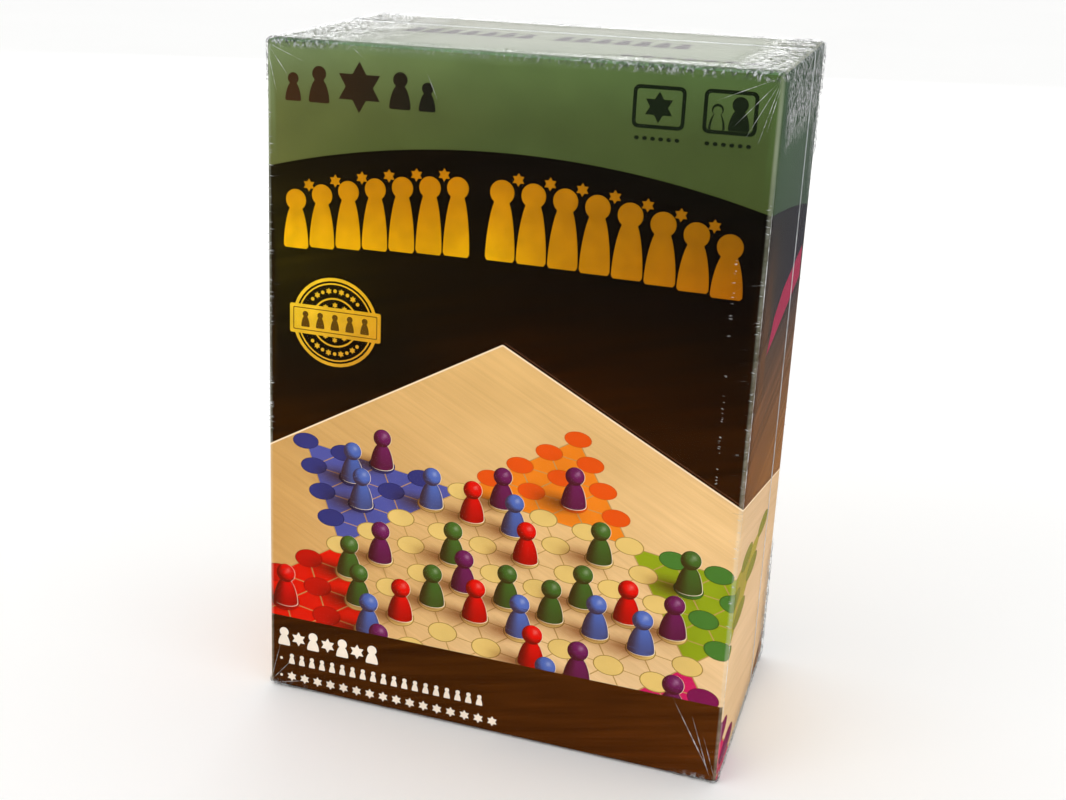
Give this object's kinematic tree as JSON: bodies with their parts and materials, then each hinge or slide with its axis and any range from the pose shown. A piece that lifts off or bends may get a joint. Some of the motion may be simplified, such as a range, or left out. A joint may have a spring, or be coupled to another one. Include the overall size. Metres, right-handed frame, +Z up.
{
  "type": "boxed chinese checkers set",
  "caption": "Shrink-wrapped rigid card box with a lift-off lid, holding a folding star-pattern playing board and an insert of wooden pawns.",
  "frame": {"origin": "centre of the box's bottom, on the surface that it stands on", "axes": "+X across the width, -Y out of the lid's printed face, +Z up along the long side"},
  "size_m": [0.19, 0.11, 0.27],
  "materials": {
    "grey_card": "matt, uncoated grey card",
    "printed_wrap": "printed, coated art paper with a soft gloss",
    "base_wrap": "printed, coated art paper with a soft gloss",
    "shrink_film": "clear glossy shrink film",
    "insert_card": "die-cut corrugated card with a white liner",
    "riser_card": "folded natural card",
    "board_core": "thick pressed board",
    "board_print": "printed paper with a light wood pattern, satin",
    "board_cover": "dark textured cover paper",
    "hinge_linen": "dark book linen",
    "pawn_blue": "glossy lacquer on turned wood",
    "pawn_purple": "glossy lacquer on turned wood",
    "pawn_red": "glossy lacquer on turned wood",
    "pawn_green": "glossy lacquer on turned wood",
    "pawn_orange": "glossy lacquer on turned wood",
    "pawn_yellow": "glossy lacquer on turned wood"
  },
  "bodies": {
    "base": {"base_card_shell": "grey_card", "base_printed_wrap": "base_wrap", "insert_block": "insert_card", "insert_floor": "insert_card", "board_ledge": "insert_card", "card_riser": "riser_card"},
    "lid": {"lid_card_shell": "grey_card", "lid_printed_wrap": "printed_wrap"},
    "front_film": {"film_front": "shrink_film"},
    "back_film": {"film_back": "shrink_film", "film_weld_seam": "shrink_film"},
    "board_back_leaf": {"board_back_core": "board_core", "board_back_printed_face": "board_print", "board_back_cover_paper": "board_cover", "board_hinge_linen": "hinge_linen"},
    "board_front_leaf": {"board_front_core": "board_core", "board_front_printed_face": "board_print", "board_front_cover_paper": "board_cover"},
    "blue_pawns": {"pawns_blue": "pawn_blue"},
    "purple_pawns": {"pawns_purple": "pawn_purple"},
    "red_pawns": {"pawns_red": "pawn_red"},
    "green_pawns": {"pawns_green": "pawn_green"},
    "orange_pawns": {"pawns_orange": "pawn_orange"},
    "yellow_pawns": {"pawns_yellow": "pawn_yellow"}
  },
  "joints": [
    {"name": "board_lift", "type": "slide", "parent": "base", "child": "board_back_leaf", "axis": [0, -1, 0], "range_m": [0, 0.15]},
    {"name": "lid_slide", "type": "slide", "parent": "board_back_leaf", "child": "lid", "axis": [0, -1, 0], "range_m": [0, 0.471]},
    {"name": "board_fold", "type": "hinge", "parent": "board_back_leaf", "child": "board_front_leaf", "pos_m": [0.088, -0.0452, 0.135], "axis": [0, 0, 1], "range_deg": [0, 180]},
    {"name": "front_film_pull", "type": "slide", "parent": "lid", "child": "front_film", "axis": [0, -1, 0], "range_m": [0, 0.12]},
    {"name": "back_film_pull", "type": "slide", "parent": "base", "child": "back_film", "axis": [0, 1, 0], "range_m": [0, 0.12]},
    {"name": "blue_pawns_lift", "type": "slide", "parent": "base", "child": "blue_pawns", "axis": [0, -1, 0], "range_m": [0, 0.075]},
    {"name": "purple_pawns_lift", "type": "slide", "parent": "base", "child": "purple_pawns", "axis": [0, -1, 0], "range_m": [0, 0.075]},
    {"name": "red_pawns_lift", "type": "slide", "parent": "base", "child": "red_pawns", "axis": [0, -1, 0], "range_m": [0, 0.075]},
    {"name": "green_pawns_lift", "type": "slide", "parent": "base", "child": "green_pawns", "axis": [0, -1, 0], "range_m": [0, 0.075]},
    {"name": "orange_pawns_lift", "type": "slide", "parent": "base", "child": "orange_pawns", "axis": [0, -1, 0], "range_m": [0, 0.075]},
    {"name": "yellow_pawns_lift", "type": "slide", "parent": "base", "child": "yellow_pawns", "axis": [0, -1, 0], "range_m": [0, 0.075]}
  ],
  "couplings": [
    {"joint": "board_fold", "follows": "lid_slide", "rad_per_m": 6.67},
    {"joint": "back_film_pull", "follows": "front_film_pull", "ratio": 1},
    {"joint": "blue_pawns_lift", "follows": "board_lift", "ratio": 0.5},
    {"joint": "purple_pawns_lift", "follows": "board_lift", "ratio": 0.5},
    {"joint": "red_pawns_lift", "follows": "board_lift", "ratio": 0.5},
    {"joint": "green_pawns_lift", "follows": "board_lift", "ratio": 0.5},
    {"joint": "orange_pawns_lift", "follows": "board_lift", "ratio": 0.5},
    {"joint": "yellow_pawns_lift", "follows": "board_lift", "ratio": 0.5}
  ]
}
